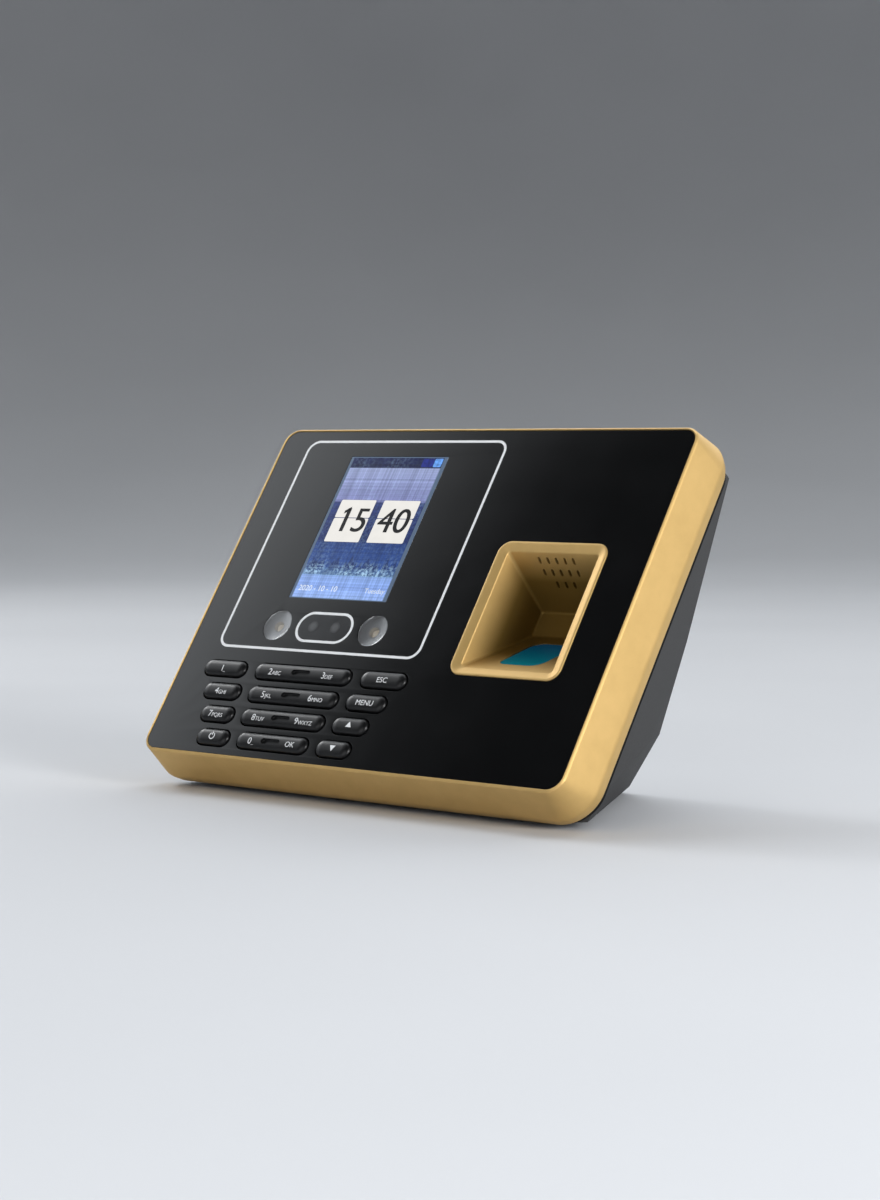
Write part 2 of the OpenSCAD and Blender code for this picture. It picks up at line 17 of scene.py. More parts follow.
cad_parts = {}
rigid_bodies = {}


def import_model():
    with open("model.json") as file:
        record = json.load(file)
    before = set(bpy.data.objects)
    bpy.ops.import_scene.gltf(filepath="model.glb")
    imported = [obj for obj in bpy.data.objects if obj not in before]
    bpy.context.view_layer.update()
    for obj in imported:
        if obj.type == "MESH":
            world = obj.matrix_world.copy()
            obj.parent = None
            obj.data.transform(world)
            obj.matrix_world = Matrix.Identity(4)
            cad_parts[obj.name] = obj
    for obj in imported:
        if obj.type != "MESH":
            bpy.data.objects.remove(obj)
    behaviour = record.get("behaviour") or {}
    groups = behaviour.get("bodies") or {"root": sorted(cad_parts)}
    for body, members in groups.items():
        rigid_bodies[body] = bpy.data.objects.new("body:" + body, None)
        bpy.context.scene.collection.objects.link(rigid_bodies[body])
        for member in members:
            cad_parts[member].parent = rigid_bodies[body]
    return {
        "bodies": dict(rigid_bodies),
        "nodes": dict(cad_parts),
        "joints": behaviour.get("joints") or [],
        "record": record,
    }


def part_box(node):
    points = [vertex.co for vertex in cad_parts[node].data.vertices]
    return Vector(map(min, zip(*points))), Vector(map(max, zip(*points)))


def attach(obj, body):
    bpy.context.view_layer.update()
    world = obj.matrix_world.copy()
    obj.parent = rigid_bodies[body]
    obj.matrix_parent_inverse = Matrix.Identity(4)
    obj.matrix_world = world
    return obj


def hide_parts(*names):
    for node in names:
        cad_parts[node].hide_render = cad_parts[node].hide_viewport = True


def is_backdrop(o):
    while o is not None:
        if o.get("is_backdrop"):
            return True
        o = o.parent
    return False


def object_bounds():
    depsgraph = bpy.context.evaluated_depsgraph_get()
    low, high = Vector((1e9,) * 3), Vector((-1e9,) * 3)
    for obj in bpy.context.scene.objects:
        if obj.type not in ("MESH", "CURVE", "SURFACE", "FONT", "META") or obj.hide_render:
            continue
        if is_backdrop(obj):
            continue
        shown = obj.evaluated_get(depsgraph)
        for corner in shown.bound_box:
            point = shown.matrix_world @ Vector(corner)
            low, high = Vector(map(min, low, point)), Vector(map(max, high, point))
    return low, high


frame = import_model()
NODES = frame["nodes"]
CAD_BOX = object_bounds()

# ---- the face frame ----

MM = 0.001
PANEL_T = 3.0
RIGHT = Vector((1, 0, 0))
INTO = Vector(next(j["axis"] for j in frame["joints"] if j["type"] == "slide")).normalized()
UP = RIGHT.cross(INTO)
CENTRE = sum(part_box("front_panel"), Vector()) / 2 - INTO * (PANEL_T / 2 * MM)
TURN = Matrix((RIGHT, INTO, UP)).transposed()
FACE = Matrix.Translation(CENTRE) @ TURN.to_4x4() @ Matrix.Scale(MM, 4)
TO_FACE = FACE.inverted()


def span(node):
    """Lowest and highest corner of a CAD node in the face frame."""
    points = [TO_FACE @ v.co for v in NODES[node].data.vertices]
    return [Vector([pick(p[i] for p in points) for i in range(3)]) for pick in (min, max)]


def outline_box(node):
    """A CAD node's box across the face: x low, x high, z low, z high."""
    low, high = span(node)
    return low.x, high.x, low.z, high.z


# ---- camera, stage and light ----


def aim(obj, direction):
    obj.rotation_mode = "QUATERNION"
    obj.rotation_quaternion = Vector(direction).to_track_quat("-Z", "Y")


def link(obj):
    bpy.context.scene.collection.objects.link(obj)
    return obj


def make_camera():
    """In front of the terminal and to its right, a little above the panel's middle."""
    camera = link(bpy.data.objects.new("camera", bpy.data.cameras.new("camera")))
    camera.location = CENTRE + Vector((0.553, -0.653, 0.0496))
    aim(camera, (-0.6364, 0.7691, -0.0603))
    camera.data.lens = 75.7
    camera.data.sensor_width = 36
    camera.data.clip_start = 0.01
    bpy.context.scene.camera = camera


def softbox(name, place, size, power):
    """A square light of size metres and power watts, aimed at the panel."""
    light = link(bpy.data.objects.new(name, bpy.data.lights.new(name, "AREA")))
    light.location = place
    light.data.size = size
    light.data.energy = power
    aim(light, CENTRE - Vector(place))


GLOW_MIDDLE = (-0.66, 0.7, -0.3)
GLOW_EDGE = (-0.035, 0.085)         # cosines between which the glow comes in
GLOW_STRENGTH = (0.03, 2.0)         # outside it and inside it


def make_world():
    """A dark studio with a broad soft glow low behind the left, whose edge grades the panel's
    gloss. Its strength rises with the cosine of the angle to the glow's middle."""
    world = bpy.data.worlds.new("studio")
    bpy.context.scene.world = world
    world.use_nodes = True
    tree = world.node_tree
    sky = tree.nodes["Background"]
    direction = tree.nodes.new("ShaderNodeTexCoord")
    towards = tree.nodes.new("ShaderNodeVectorMath")
    towards.operation = "DOT_PRODUCT"
    towards.inputs[1].default_value = Vector(GLOW_MIDDLE).normalized()
    glow = tree.nodes.new("ShaderNodeMapRange")
    glow.interpolation_type = "SMOOTHSTEP"
    sockets = ("From Min", "From Max", "To Min", "To Max")
    for socket, value in zip(sockets, (*GLOW_EDGE, *GLOW_STRENGTH)):
        glow.inputs[socket].default_value = value
    tree.links.new(direction.outputs["Generated"], towards.inputs[0])
    tree.links.new(towards.outputs["Value"], glow.inputs["Value"])
    tree.links.new(glow.outputs["Result"], sky.inputs["Strength"])
    sky.inputs["Color"].default_value = (0.92, 0.96, 1, 1)


def make_stage():
    """A pale dish, in metres: a flat floor that curves up into a low wall all round. It is
    open by a millimetre at its middle, under the terminal."""
    flat, rise, turns = 1.5, 1.3, 96
    angles = [math.radians(7.5 * k) for k in range(11)]
    profile = [(0.001, 0)] + [(flat + rise * math.sin(a), rise * (1 - math.cos(a))) for a in angles]
    around = [math.tau * k / turns for k in range(turns)]
    rings = [[Vector((r * math.cos(a), r * math.sin(a), z)) for a in around] for r, z in profile]
    mesh = bpy.data.meshes.new("floor")
    loft(rings, capped=False).to_mesh(mesh)
    mesh.shade_smooth()
    mesh.materials.append(stage_paint())
    link(bpy.data.objects.new("floor", mesh))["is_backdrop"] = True


def stage_paint():
    look = Look("stage_paint", (0.57, 0.58, 0.6), 0.85)
    look.tint(look.noise(300, detail=2), (0.56, 0.57, 0.59), (0.59, 0.6, 0.62))
    return look.mat


# ---- building meshes ----


def grown(box, by):
    """A box with each side moved out by that much."""
    return box[0] - by, box[1] + by, box[2] - by, box[3] + by


def rounded(box, r, y, steps=10):
    """A rounded rectangle at depth y, anticlockwise as seen from in front."""
    points = []
    for quarter, (x, z) in enumerate(((1, 3), (0, 3), (0, 2), (1, 2))):
        middle = Vector((box[x] + (r if x == 0 else -r), y, box[z] + (r if z == 2 else -r)))
        for k in range(steps + 1):
            a = math.radians(90 * (quarter + k / steps))
            points.append(middle + Vector((r * math.cos(a), 0, r * math.sin(a))))
    return points


def pill(straight, r, y, at=(0, 0), steps=18):
    """A stadium at depth y: its round ends of radius r are centred straight from the middle."""
    points = []
    for side in (1, -1):
        for k in range(steps + 1):
            a = math.radians(180 * k / steps - 90)
            x = at[0] + side * (straight + r * math.cos(a))
            points.append(Vector((x, y, at[1] + side * r * math.sin(a))))
    return points


def disc(r, y, at=(0, 0), steps=48):
    """A circle at depth y."""
    turns = [math.tau * k / steps for k in range(steps)]
    return [Vector((at[0] + r * math.cos(a), y, at[1] + r * math.sin(a))) for a in turns]


def loft(loops, closed=False, capped=True):
    """A skin through loops of equal length. A closed one joins its last loop to its first."""
    bm = bmesh.new()
    rings = [[bm.verts.new(p) for p in loop] for loop in loops]
    following = rings[1:] + rings[:1] if closed else rings[1:]
    for a, b in zip(rings, following):
        for i in range(len(a)):
            j = (i + 1) % len(a)
            bm.faces.new((a[i], a[j], b[j], b[i]))
    if capped and not closed:
        bm.faces.new(rings[0])
        bm.faces.new(rings[-1][::-1])
    bmesh.ops.recalc_face_normals(bm, faces=bm.faces)
    return bm


def evaluated(obj):
    """The mesh of an object as its curve or its modifiers make it."""
    bpy.context.view_layer.update()
    return bpy.data.meshes.new_from_object(obj.evaluated_get(bpy.context.evaluated_depsgraph_get()))


def from_curve(curve):
    """The solid of a flat curve, standing in the face's plane with its front at -Y."""
    obj = link(bpy.data.objects.new("curve", curve))
    mesh = evaluated(obj)
    bpy.data.objects.remove(obj)
    bm = bmesh.new()
    bm.from_mesh(mesh)
    bmesh.ops.remove_doubles(bm, verts=bm.verts, dist=1e-4)
    bm.transform(Matrix.Rotation(math.radians(90), 4, "X"))
    return bm


def plate(outlines, y0, y1, bevel=0.0):
    """A flat sheet from depth y0 to y1. The first outline is its edge and the others are holes."""
    curve = bpy.data.curves.new("plate", "CURVE")
    curve.dimensions = "2D"
    curve.fill_mode = "BOTH"
    curve.extrude = (y1 - y0) / 2 - bevel
    curve.bevel_depth = bevel
    curve.bevel_resolution = 2
    curve.offset = -bevel
    for i, loop in enumerate(outlines):
        spline = curve.splines.new("POLY")
        spline.points.add(len(loop) - 1)
        for point, p in zip(spline.points, loop if i == 0 else loop[::-1]):
            point.co = (p.x, p.z, 0, 1)
        spline.use_cyclic_u = True
    bm = from_curve(curve)
    bm.transform(Matrix.Translation((0, (y0 + y1) / 2, 0)))
    return bm


CAP_HEIGHT = 0.729      # of the built-in font, at size 1


def lettering(text, cap, thick):
    """A line of text with capitals cap millimetres high, starting at the origin."""
    curve = bpy.data.curves.new("text", "FONT")
    curve.body = text
    curve.size = cap / CAP_HEIGHT
    curve.extrude = thick / 2
    return from_curve(curve)


def width(bm):
    xs = [v.co.x for v in bm.verts]
    return max(xs) - min(xs)


def moved(bm, x=0.0, y=0.0, z=0.0):
    bm.transform(Matrix.Translation((x, y, z)))
    return bm


def joined(parts):
    """One mesh made of several."""
    whole = bmesh.new()
    for bm in parts:
        mesh = bpy.data.meshes.new("part")
        bm.to_mesh(mesh)
        whole.from_mesh(mesh)
        bm.free()
    return whole


def carved(bm, tool):
    """bm with the space that tool fills cut out of it."""
    pair = []
    for part in (bm, tool):
        mesh = bpy.data.meshes.new("part")
        part.to_mesh(mesh)
        part.free()
        pair.append(link(bpy.data.objects.new("part", mesh)))
    body, cutter = pair
    boolean = body.modifiers.new("cut", "BOOLEAN")
    boolean.operation = "DIFFERENCE"
    boolean.solver = "EXACT"
    boolean.object = cutter
    mesh = evaluated(body)
    for obj in pair:
        bpy.data.objects.remove(obj)
    result = bmesh.new()
    result.from_mesh(mesh)
    return result


def piece(name, bm, slot, body="case", replaces=(), paint=None, sharp=35, even=True):
    """Makes a finished piece of a face-frame mesh: smooth but for edges over sharp degrees.
    paint is its material where that isn't the slot's own."""
    mesh = bpy.data.meshes.new(name)
    bm.to_mesh(mesh)
    bm.free()
    mesh.transform(FACE)
    mesh.shade_smooth()
    mesh.set_sharp_from_angle(angle=math.radians(sharp))
    mesh.materials.append(paint or LOOKS[slot])
    obj = link(bpy.data.objects.new(name, mesh))
    if even:
        weighted = obj.modifiers.new("flat faces stay flat", "WEIGHTED_NORMAL")
        weighted.keep_sharp = True
    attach(obj, body)
    if replaces:
        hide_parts(*replaces)
    return obj


# ---- materials ----


class Look:
    """A Principled material. Its texture coordinates are the face frame's millimetres."""

    def __init__(self, name, colour, rough, metal=0.0, **sockets):
        self.mat = bpy.data.materials.new(name)
        self.mat.use_nodes = True
        self.tree = self.mat.node_tree
        self.shader = self.tree.nodes["Principled BSDF"]
        values = {"Base Color": (*colour, 1), "Roughness": rough, "Metallic": metal}
        values.update({key.replace("_", " "): value for key, value in sockets.items()})
        for socket, value in values.items():
            self.shader.inputs[socket].default_value = value
        at = self.node("ShaderNodeTexCoord").outputs["Object"]
        places = {"Vector": at, "Location": CENTRE, "Rotation": TURN.to_euler(), "Scale": (MM, MM, MM)}
        self.at = self.node("ShaderNodeMapping", places, vector_type="TEXTURE").outputs["Vector"]

    def node(self, kind, inputs=None, **settings):
        made = self.tree.nodes.new(kind)
        for key, value in settings.items():
            setattr(made, key, value)
        for socket, value in (inputs or {}).items():
            if isinstance(value, bpy.types.NodeSocket):
                self.tree.links.new(value, made.inputs[socket])
            else:
                made.inputs[socket].default_value = value
        return made

    def stretched(self, stretch):
        """The coordinates with features drawn out along each axis by stretch."""
        inputs = {"Vector": self.at, "Scale": [1 / s for s in stretch]}
        return self.node("ShaderNodeMapping", inputs).outputs["Vector"]

    def noise(self, size, detail=3.0, stretch=(1, 1, 1), rough=0.55):
        """Noise whose coarsest features are about size millimetres across, from 0 to 1."""
        inputs = {"Vector": self.stretched(stretch), "Scale": 1 / size, "Detail": detail, "Roughness": rough}
        return self.node("ShaderNodeTexNoise", inputs).outputs[0]

    def along(self, axis):
        """The coordinate X, Y or Z of the face frame."""
        return self.node("ShaderNodeSeparateXYZ", {"Vector": self.at}).outputs[axis]

    def ranged(self, field, low, high, start=0.3, end=0.7):
        """low where field is start or beyond it, high where it is end."""
        inputs = {"Value": field, "From Min": start, "From Max": end, "To Min": low, "To Max": high}
        return self.node("ShaderNodeMapRange", inputs).outputs["Result"]

    def combined(self, operation, first, second):
        return self.node("ShaderNodeMath", {0: first, 1: second}, operation=operation).outputs[0]

    def times(self, first, second):
        return self.combined("MULTIPLY", first, second)

    def mixed(self, field, first, second):
        """first where field is 0, second where it is 1. Each is a colour or a socket."""
        mix = self.node("ShaderNodeMix", data_type="RGBA")
        for index, value in ((0, field), (6, first), (7, second)):
            if isinstance(value, bpy.types.NodeSocket):
                self.tree.links.new(value, mix.inputs[index])
            else:
                mix.inputs[index].default_value = (*value, 1)
        return mix.outputs[2]

    def use(self, socket, value):
        self.tree.links.new(value, self.shader.inputs[socket])

    def tint(self, field, dark, light):
        self.use("Base Color", self.mixed(self.ranged(field, 0, 1), dark, light))

    def rough(self, field, low, high):
        self.use("Roughness", self.ranged(field, low, high))

    def bump(self, field, depth):
        """Raises the surface by up to depth millimetres."""
        inputs = {"Height": field, "Distance": depth * MM, "Strength": 1.0}
        self.use("Normal", self.node("ShaderNodeBump", inputs).outputs["Normal"])


def gold_paint(name="gold_paint", painted_shade_at_back=False):
    """Metal-flake paint. In the finger well it is painted darker and browner towards the back, a painted
    shade where the walls keep light out.
    """
    look = Look(name, (0.61, 0.405, 0.15), 0.52, 0.6)
    flakes = look.noise(0.16, detail=2)
    clouds = look.ranged(look.noise(7, detail=5), 0, 1)
    tone = look.mixed(clouds, (0.58, 0.385, 0.14), (0.63, 0.42, 0.158))
    if painted_shade_at_back:
        # painted shade: darker and browner from the mouth to 12 mm into the well
        painted_shade = look.ranged(look.along("Y"), 0, 1, start=-0.5, end=12)
        tone = look.mixed(painted_shade, tone, (0.19, 0.115, 0.022))
    look.use("Base Color", tone)
    look.rough(flakes, 0.47, 0.57)
    look.bump(flakes, 0.008)
    return look.mat


def black_gloss():
    look = Look("black_gloss", (0.0026, 0.0027, 0.003), 0.1, Specular_IOR_Level=0.5)
    look.rough(look.noise(26, detail=5), 0.09, 0.12)
    look.bump(look.noise(14, detail=1), 0.002)
    return look.mat


def moulded(name, colour, rough, grain=0.3, depth=0.012, spread=0.12, **sockets):
    """Moulded plastic or rubber with a fine surface grain and slightly uneven colour."""
    look = Look(name, colour, rough, **sockets)
    fine = look.noise(grain, detail=3)
    dark, light = [tuple(c * (1 + sign * spread) for c in colour) for sign in (-1, 1)]
    look.tint(look.noise(6, detail=5), dark, light)
    look.rough(fine, rough - 0.05, rough + 0.05)
    look.bump(fine, depth)
    return look.mat


def grey_plastic():
    """Spark-eroded plastic: rounded pits of two sizes."""
    look = Look("grey_plastic", (0.05, 0.05, 0.051), 0.55, Specular_IOR_Level=0.03)
    cells = look.node("ShaderNodeTexVoronoi", {"Vector": look.at, "Scale": 2.4}, feature="SMOOTH_F1")
    pits = cells.outputs["Distance"]
    look.tint(look.noise(0.5, detail=4), (0.047, 0.047, 0.048), (0.053, 0.053, 0.054))
    look.rough(look.noise(0.8, detail=3), 0.52, 0.58)
    look.bump(look.combined("ADD", pits, look.noise(0.22)), 0.012)
    return look.mat


def metal(name, colour, rough, brushed=(1, 1, 1)):
    """Bare metal with fine streaks, drawn out along each axis by brushed."""
    look = Look(name, colour, rough, 1.0)
    streaks = look.noise(0.12, detail=3, stretch=brushed)
    dark, light = [tuple(c * times for c in colour) for times in (0.9, 1.08)]
    look.tint(look.noise(3, detail=3), dark, light)
    look.rough(streaks, rough - 0.08, rough + 0.1)
    look.bump(streaks, 0.006)
    return look.mat


def glass(name, colour, rough, haze=0.0):
    """Clear or smoked plastic, a little cloudy, with a faintly uneven polish."""
    look = Look(name, colour, rough, IOR=1.49, Transmission_Weight=1 - haze)
    look.rough(look.noise(4, detail=3), rough, rough + 0.03)
    return look.mat


def teal_glass():
    """Coated sensor glass with a faint painted glow, with no lamp behind it, and painted shade that darkens
    it towards its far edge, further into the well.
    """
    # the emission is a painted glow that brightens the teal
    look = Look("teal_glass", (0, 0.12, 0.16), 0.16, Specular_IOR_Level=0.03, Emission_Strength=0.35)
    back, front = (0.0, 0.05, 0.11), (0.0, 0.12, 0.155)
    # painted shade: darker from 6 to 18 mm into the case, towards the glass's far edge
    colour = look.mixed(look.ranged(look.along("Y"), 1, 0, start=6, end=18), back, front)
    look.use("Base Color", colour)
    look.use("Emission Color", colour)
    look.rough(look.noise(3, detail=4), 0.12, 0.2)
    return look.mat


def circuit_board():
    look = Look("circuit_board", (0.02, 0.14, 0.06), 0.35)
    places = {"Vector": look.at, "Scale": 0.22, "Mortar Size": 0.04}
    tracks = look.node("ShaderNodeTexBrick", places).outputs[1]
    look.tint(tracks, (0.015, 0.11, 0.045), (0.04, 0.2, 0.09))
    look.bump(tracks, 0.02)
    return look.mat


def lit(name, colour_of, strength=1.0):
    """A lit picture under glass. colour_of draws it in the look that it is given."""
    look = Look(name, (0, 0, 0), 0.12, Emission_Strength=strength, Specular_IOR_Level=0.25)
    colour = colour_of(look)
    look.use("Emission Color", colour)
    look.rough(look.noise(20, detail=3), 0.12, 0.18)
    return look.mat


def make_looks():
    """One material for each of the record's slots."""
    keys = moulded("key_plastic", (0.005, 0.005, 0.0055), 0.34, 0.2, 0.006, Specular_IOR_Level=0.3)
    rubber = moulded("black_rubber", (0.012, 0.012, 0.012), 0.7, 0.4, 0.03, Specular_IOR_Level=0.05)
    silicone = moulded("silicone", (0.55, 0.55, 0.52), 0.55, spread=0.05, Subsurface_Weight=0.3)
    return {
        "gold_paint": gold_paint(),
        "black_gloss": black_gloss(),
        "clear_window": glass("clear_window", (0.8, 0.85, 0.9), 0.03),
        "dark_window": moulded("dark_window", (0.012, 0.0125, 0.014), 0.14, grain=9, depth=0.002),
        "teal_glass": teal_glass(),
        "key_plastic": keys,
        "grey_plastic": grey_plastic(),
        "black_matte": moulded("black_matte", (0.03, 0.03, 0.032), 0.5),
        "white_plastic": moulded("white_plastic", (0.75, 0.74, 0.7), 0.45, spread=0.04),
        "silicone": silicone,
        "black_rubber": rubber,
        "circuit_board": circuit_board(),
        "display_glass": moulded("display_glass", (0.05, 0.07, 0.14), 0.2, grain=8, depth=0.001),
        "reflector": metal("reflector", (0.46, 0.455, 0.44), 0.2),
        "aluminium_can": metal("aluminium_can", (0.6, 0.6, 0.62), 0.35),
        "ribbon": moulded("ribbon", (0.6, 0.3, 0.05), 0.3, grain=1.0),
        "steel": metal("steel", (0.6, 0.6, 0.62), 0.3, brushed=(20, 1, 1)),
        "dark_steel": metal("dark_steel", (0.12, 0.12, 0.13), 0.35),
        "brass": metal("brass", (0.62, 0.46, 0.17), 0.3),
        "silver_label": moulded("silver_label", (0.45, 0.45, 0.47), 0.4, grain=2, depth=0.004, spread=0.03),
    }


# ---- front housing ----

LIP_TOP = -0.4
FLOOR_BACK = 5.0
CREASE_Y = 13.0         # depth at which the side walls are widest
CORNER_R = 5.0          # the panel's corners
LIP_R, CREASE_R = 5.9, 12.6
LIP_GROW = 0.9          # the lip's outer edge, out from the panel's
INNER_GROW = 0.4        # the cavity's wall, out from the panel's edge
KEYS = [n for n in NODES if n.startswith("key_")]
FLANGE = (1.2, 0.9)     # the keys' flanges reach this far past their caps, in x and z
KEY_R = 3.0
PANEL = outline_box("front_panel")
LAMP_WINDOWS = ("lamp_window_left", "lamp_window_right")
WELL_RIM = outline_box("finger_well")
WELL_RIM_R = 4.8


def key_shape(node):
    """Middle (x, z) of a key and half the length of its straight part."""
    x0, x1, z0, z1 = outline_box(node)
    return ((x0 + x1) / 2, (z0 + z1) / 2), (x1 - x0) / 2 - FLANGE[0] - KEY_R


def key_holes(gap):
    """The keys' outlines, each grown by gap."""
    for node in KEYS:
        at, straight = key_shape(node)
        yield pill(straight, KEY_R + gap, 0, at)


def middle(box):
    """A box's middle: x and z."""
    return (box[0] + box[1]) / 2, (box[2] + box[3]) / 2


def window_pill(shrink=0.0):
    """The camera window's outline."""
    box = outline_box("camera_window")
    r = (box[3] - box[2]) / 2
    return pill((box[1] - box[0]) / 2 - r, r - shrink, 0, middle(box))


def lamp_discs(grow=0.0):
    """The lamp windows' outlines."""
    for node in LAMP_WINDOWS:
        box = outline_box(node)
        yield disc((box[1] - box[0]) / 2 + grow, 0, middle(box))


SCREW_HEAD_T, BOARD_T = 1.5, 1.6
KEYPAD_REACH = 20       # only the keypad board's posts end this shallow, and they are slimmer


def make_housing_ring():
    """The flared gold frame round the panel, in one closed profile from the pocket's wall
    over the lip, down the flare, round the crease and back to the cavity's wall."""
    steps = 14
    crease_grow = outline_box("front_housing")[1] - PANEL[1]
    back = span("gasket")[0].y
    pocket = [(0.1, FLOOR_BACK), (0.1, -0.1), (0.16, -0.28)]
    over_lip = [(0.24, LIP_TOP), (0.38, LIP_TOP), (0.52, -0.32), (1.02, 0.2)]
    round_crease = [(0.0, CREASE_Y + 0.25), (-0.1, CREASE_Y + 1.1)]
    to_gasket = [(-0.7, back - 1.2), (-1.1, back - 0.25), (-1.4, back)]
    loops = [rounded(grown(PANEL, grow), CORNER_R + grow, y, steps) for grow, y in pocket + over_lip]
    for y, ease in ((0.45, 0), (3, 0), (6, 0), (9, 0), (12, 0), (12.6, 0.05)):
        t = (y - LIP_TOP) / (CREASE_Y - LIP_TOP)
        grow = LIP_GROW + (crease_grow - LIP_GROW) * t - ease
        loops.append(rounded(grown(PANEL, grow), LIP_R + (CREASE_R - LIP_R) * t, y, steps))
    for grow, y in round_crease + to_gasket:
        loops.append(rounded(grown(PANEL, crease_grow + grow), CREASE_R, y, steps))
    loops += [rounded(grown(PANEL, INNER_GROW), CORNER_R, y, steps) for y in (back, FLOOR_BACK)]
    piece("housing_ring", loft(loops, closed=True), "gold_paint", replaces=["front_housing"])


def solids(node):
    """Middle across the face (x, z) and depth range of each separate solid in a node."""
    bm = bmesh.new()
    bm.from_mesh(NODES[node].data)
    bm.transform(TO_FACE)
    bmesh.ops.remove_doubles(bm, verts=bm.verts, dist=1e-3)
    left = set(bm.verts)
    while left:
        group, edge = set(), {left.pop()}
        while edge:
            group |= edge
            edge = {e.other_vert(v) for v in edge for e in v.link_edges} - group
        left -= group
        low, high = [Vector([pick(v.co[i] for v in group) for i in range(3)]) for pick in (min, max)]
        at = (low + high) / 2
        yield (at.x, at.z), low.y, high.y
    bm.free()


def post(at, r_out, r_in, y0, y1, bore_depth):
    """A screw post from the floor at y0 to its top at y1, with a blind bore from the top."""
    profile = [(r_out, y0), (r_out, y1 - 0.2), (r_out - 0.2, y1), (r_in, y1), (r_in, y1 - bore_depth)]
    return loft([disc(r, y, at, 32) for r, y in profile])


def make_housing_floor():
    """The floor behind the panel, with its openings and a post for every screw."""
    display = outline_box("lcd_panel")
    holes = [*key_holes(0.6), rounded(grown(display, 0.2), 0.3, 0), window_pill(0.5), *lamp_discs(0.3)]
    holes.append(rounded(grown(WELL_RIM, -1.1), 3, 0))
    parts = [plate([rounded(grown(PANEL, 0.2), CORNER_R, 0), *holes], PANEL_T, FLOOR_BACK, 0.1)]
    start = FLOOR_BACK - 0.1
    for at, tip, back in solids("board_screws"):
        top = back - SCREW_HEAD_T - BOARD_T
        r_out = 2.5 if top < KEYPAD_REACH else 3.0
        parts.append(post(at, r_out, 1.3, start, top, top - tip + 1))
    top = span("gasket")[1].y
    for at, tip, back in solids("case_screws"):
        parts.append(post(at, 3.6, 1.5, start, top, top - tip + 1))
    piece("housing_floor", joined(parts), "gold_paint")


def make_panel():
    """The glossy face, open at its keys, windows and well."""
    display = outline_box("display_window")
    holes = [*key_holes(0.5), rounded(display, 0.2, 0, 3), window_pill(), *lamp_discs()]
    holes.append(rounded(WELL_RIM, WELL_RIM_R, 0))
    outline = rounded(PANEL, CORNER_R, 0, 14)
    piece("glossy_panel", plate([outline, *holes], 0, PANEL_T, 0.12), "black_gloss", replaces=["front_panel"])


# ---- printed outlines, display, camera and lamps ----


def band(outer, inner, name, paint):
    """A printed line, flush with the panel, between two outlines."""
    piece(name, plate([outer, inner], -0.02, 0.06), "black_gloss", paint=paint)


def make_prints():
    """The white lines round the display and round the camera window."""
    white = moulded("white_print", (0.82, 0.83, 0.84), 0.38, grain=0.25, depth=0.004, spread=0.03)
    half = 0.5
    frame_line, corner_r = (-78.0, 14.1, -24.8, 62.8), 4.45
    edges = [rounded(grown(frame_line, by), corner_r + by, 0) for by in (half, -half)]
    band(*edges, "white_frame_line", white)
    reach, r = 12.35, 5.65
    at = middle(outline_box("camera_window"))
    edges = [pill(reach - r, r + by, 0, at) for by in (half, -half)]
    band(*edges, "white_camera_line", white)


def flat_colour(colour, spread=0.06, size=2.5):
    """Draws a colour that wavers slightly, for lit()."""
    dark, light = [tuple(c * (1 + s * spread) for c in colour) for s in (-1, 1)]
    return lambda look: look.mixed(look.ranged(look.noise(size), 0, 1), dark, light)


# The picture's bands from its bottom to its top: height up the panel and colour there
BANDS = [
    (-3.4, (0.3, 0.45, 0.84)), (1.5, (0.24, 0.38, 0.8)),
    (5.8, (0.24, 0.38, 0.74)), (6.2, (0.22, 0.42, 0.72)),
    (8.6, (0.1, 0.22, 0.5)), (9.4, (0.025, 0.07, 0.26)),
    (19, (0.014, 0.045, 0.19)), (20.5, (0.008, 0.02, 0.11)),
    (36.4, (0.02, 0.035, 0.15)), (37.4, (0.19, 0.21, 0.43)),
    (45, (0.25, 0.29, 0.53)), (51.2, (0.3, 0.35, 0.58)),
    (51.6, (0.003, 0.006, 0.05)), (55.8, (0.003, 0.008, 0.07)),
]


def landscape(look):
    """Sky, skyline, shore and water in bands, with a fine plaid and a speckled shoreline."""
    height = look.along("Z")
    low, high = BANDS[0][0], BANDS[-1][0]
    ramp = look.node("ShaderNodeValToRGB", {"Fac": look.ranged(height, 0, 1, start=low, end=high)})
    while len(ramp.color_ramp.elements) < len(BANDS):
        ramp.color_ramp.elements.new(0.5)
    for element, (z, colour) in zip(ramp.color_ramp.elements, BANDS):
        element.position = (z - low) / (high - low)
        element.color = (*colour, 1)
    # the towers' tops wander up and down, and lights thin out above the shore
    tops = look.ranged(look.noise(3.5, detail=4, stretch=(1, 1, 400)), 6.5, 16)
    above = look.ranged(height, 0, 1, start=5.9, end=6.3)
    below_roofs = look.ranged(look.combined("SUBTRACT", tops, height), 0, 0.7, start=0, end=0.4)
    built = look.times(below_roofs, above)
    colour = look.mixed(built, ramp.outputs["Color"], (0.01, 0.025, 0.11))
    dense = look.ranged(height, 1, 0.12, start=7.2, end=12)
    patches = look.ranged(look.noise(9, detail=2), 0.25, 1, start=0.4, end=0.6)
    specks = look.ranged(look.noise(1.3, detail=5, rough=0.7), 0, 1, start=0.46, end=0.58)
    lights = look.times(look.times(specks, above), look.times(dense, patches))
    colour = look.mixed(lights, colour, (0.42, 0.66, 0.9))
    # the plaid: fine and broad bands of light and shade, up and across
    for size, stretch, darkest, lightest in (
        (0.9, (1, 1, 400), 0.75, 1.3), (0.9, (400, 1, 1), 0.72, 1.3), (4, (1, 1, 400), 0.8, 1.25),
    ):
        shade = look.ranged(look.noise(size, detail=3, stretch=stretch), darkest, lightest)
        shaded = look.node("ShaderNodeVectorMath", {0: colour, "Scale": shade}, operation="SCALE")
        colour = shaded.outputs["Vector"]
    return colour


